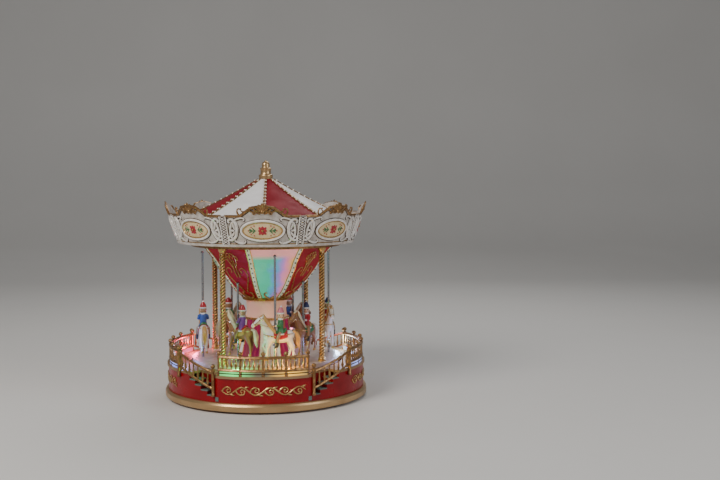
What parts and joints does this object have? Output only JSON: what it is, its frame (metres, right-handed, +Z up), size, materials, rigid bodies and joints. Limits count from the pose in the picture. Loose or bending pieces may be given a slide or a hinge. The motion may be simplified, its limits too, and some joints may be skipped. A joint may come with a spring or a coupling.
{
  "type": "carousel music box",
  "caption": "Lit tabletop carousel with a turning platform of rising horses under a tent canopy, on a round drum base that holds the drive and the sound board.",
  "frame": {"origin": "centre of the base on the table", "axes": "+Z up along the turning axis, the front faces -Y"},
  "size_m": [0.25, 0.25, 0.291],
  "materials": {
    "black": "black",
    "board": "green board",
    "brass": "turned",
    "clear": "clear",
    "gear_white": "natural",
    "gold": "antique gold paint",
    "horse_brown": "hand painted",
    "horse_white": "hand painted",
    "ivory": "ivory with rubbed antique gold",
    "pastel": "painted pastel panel",
    "red_plastic": "gloss red lacquer",
    "roof_red": "satin red",
    "rubber": "soft",
    "steel": "plain steel",
    "step_green": "painted dark green grey",
    "white": "white"
  },
  "bodies": {
    "base": {"base_deck": "gold", "base_drum": "red_plastic", "base_plate": "black", "base_trim_ring": "gold", "cam_ring": "gear_white", "canopy_soffit": "ivory", "central_post": "steel", "circuit_board": "board", "cornice": "ivory", "crests": "gold", "dc_jack": "black", "fence_back": "gold", "fence_front": "gold", "fence_left": "gold", "fence_right": "gold", "finial": "gold", "idler_shaft": "steel", "led_diffuser": "clear", "led_lamps": "clear", "medallions": "ivory", "motor": "steel", "plate_screws": "steel", "roof_red_panels": "roof_red", "roof_ribs": "gold", "roof_white_panels": "white", "rubber_feet": "rubber", "scroll_ornaments": "gold", "slide_switch": "black", "speaker": "black", "stair_flights": "step_green", "stair_railings": "gold", "thrust_washer": "brass"},
    "rotor": {"turntable": "red_plastic", "turntable_gear": "gear_white", "rope_columns": "gold", "core_skirt": "red_plastic", "waist_band": "gold", "core_ribs": "white", "core_picture_panels": "pastel", "core_red_panels": "red_plastic", "ceiling_ring": "gold"},
    "reduction": {"reduction_gear": "gear_white"},
    "pinion": {"motor_pinion": "brass"},
    "switch": {"switch_slider": "black"},
    "rider_1": {"pole_1": "steel", "horse_1": "horse_white"},
    "rider_2": {"pole_2": "steel", "horse_2": "horse_brown"},
    "rider_3": {"pole_3": "steel", "horse_3": "horse_white"},
    "rider_4": {"pole_4": "steel", "horse_4": "horse_brown"},
    "rider_5": {"pole_5": "steel", "horse_5": "horse_white"},
    "rider_6": {"pole_6": "steel", "horse_6": "horse_brown"},
    "rider_7": {"pole_7": "steel", "horse_7": "horse_white"},
    "rider_8": {"pole_8": "steel", "horse_8": "horse_brown"}
  },
  "joints": [
    {"name": "turntable_spin", "type": "hinge", "parent": "base", "child": "rotor", "pos_m": [0, 0, 0.045], "axis": [0, 0, 1], "continuous": true},
    {"name": "reduction_spin", "type": "hinge", "parent": "base", "child": "reduction", "pos_m": [0, 0.0324, 0.03], "axis": [0, 0, 1], "continuous": true},
    {"name": "pinion_spin", "type": "hinge", "parent": "base", "child": "pinion", "pos_m": [0.0225, 0.0324, 0.025], "axis": [0, 0, 1], "continuous": true},
    {"name": "switch_slide", "type": "slide", "parent": "base", "child": "switch", "axis": [1, 0, 0], "range_m": [0, 0.004]},
    {"name": "horse_1_lift", "type": "slide", "parent": "rotor", "child": "rider_1", "axis": [0, 0, 1], "range_m": [0, 0.005]},
    {"name": "horse_2_lift", "type": "slide", "parent": "rotor", "child": "rider_2", "axis": [0, 0, 1], "range_m": [0, 0.005]},
    {"name": "horse_3_lift", "type": "slide", "parent": "rotor", "child": "rider_3", "axis": [0, 0, 1], "range_m": [0, 0.005]},
    {"name": "horse_4_lift", "type": "slide", "parent": "rotor", "child": "rider_4", "axis": [0, 0, 1], "range_m": [0, 0.005]},
    {"name": "horse_5_lift", "type": "slide", "parent": "rotor", "child": "rider_5", "axis": [0, 0, 1], "range_m": [0, 0.005]},
    {"name": "horse_6_lift", "type": "slide", "parent": "rotor", "child": "rider_6", "axis": [0, 0, 1], "range_m": [0, 0.005]},
    {"name": "horse_7_lift", "type": "slide", "parent": "rotor", "child": "rider_7", "axis": [0, 0, 1], "range_m": [0, 0.005]},
    {"name": "horse_8_lift", "type": "slide", "parent": "rotor", "child": "rider_8", "axis": [0, 0, 1], "range_m": [0, 0.005]}
  ],
  "couplings": [
    {"joint": "reduction_spin", "follows": "turntable_spin", "ratio": -5},
    {"joint": "pinion_spin", "follows": "turntable_spin", "ratio": 20}
  ]
}
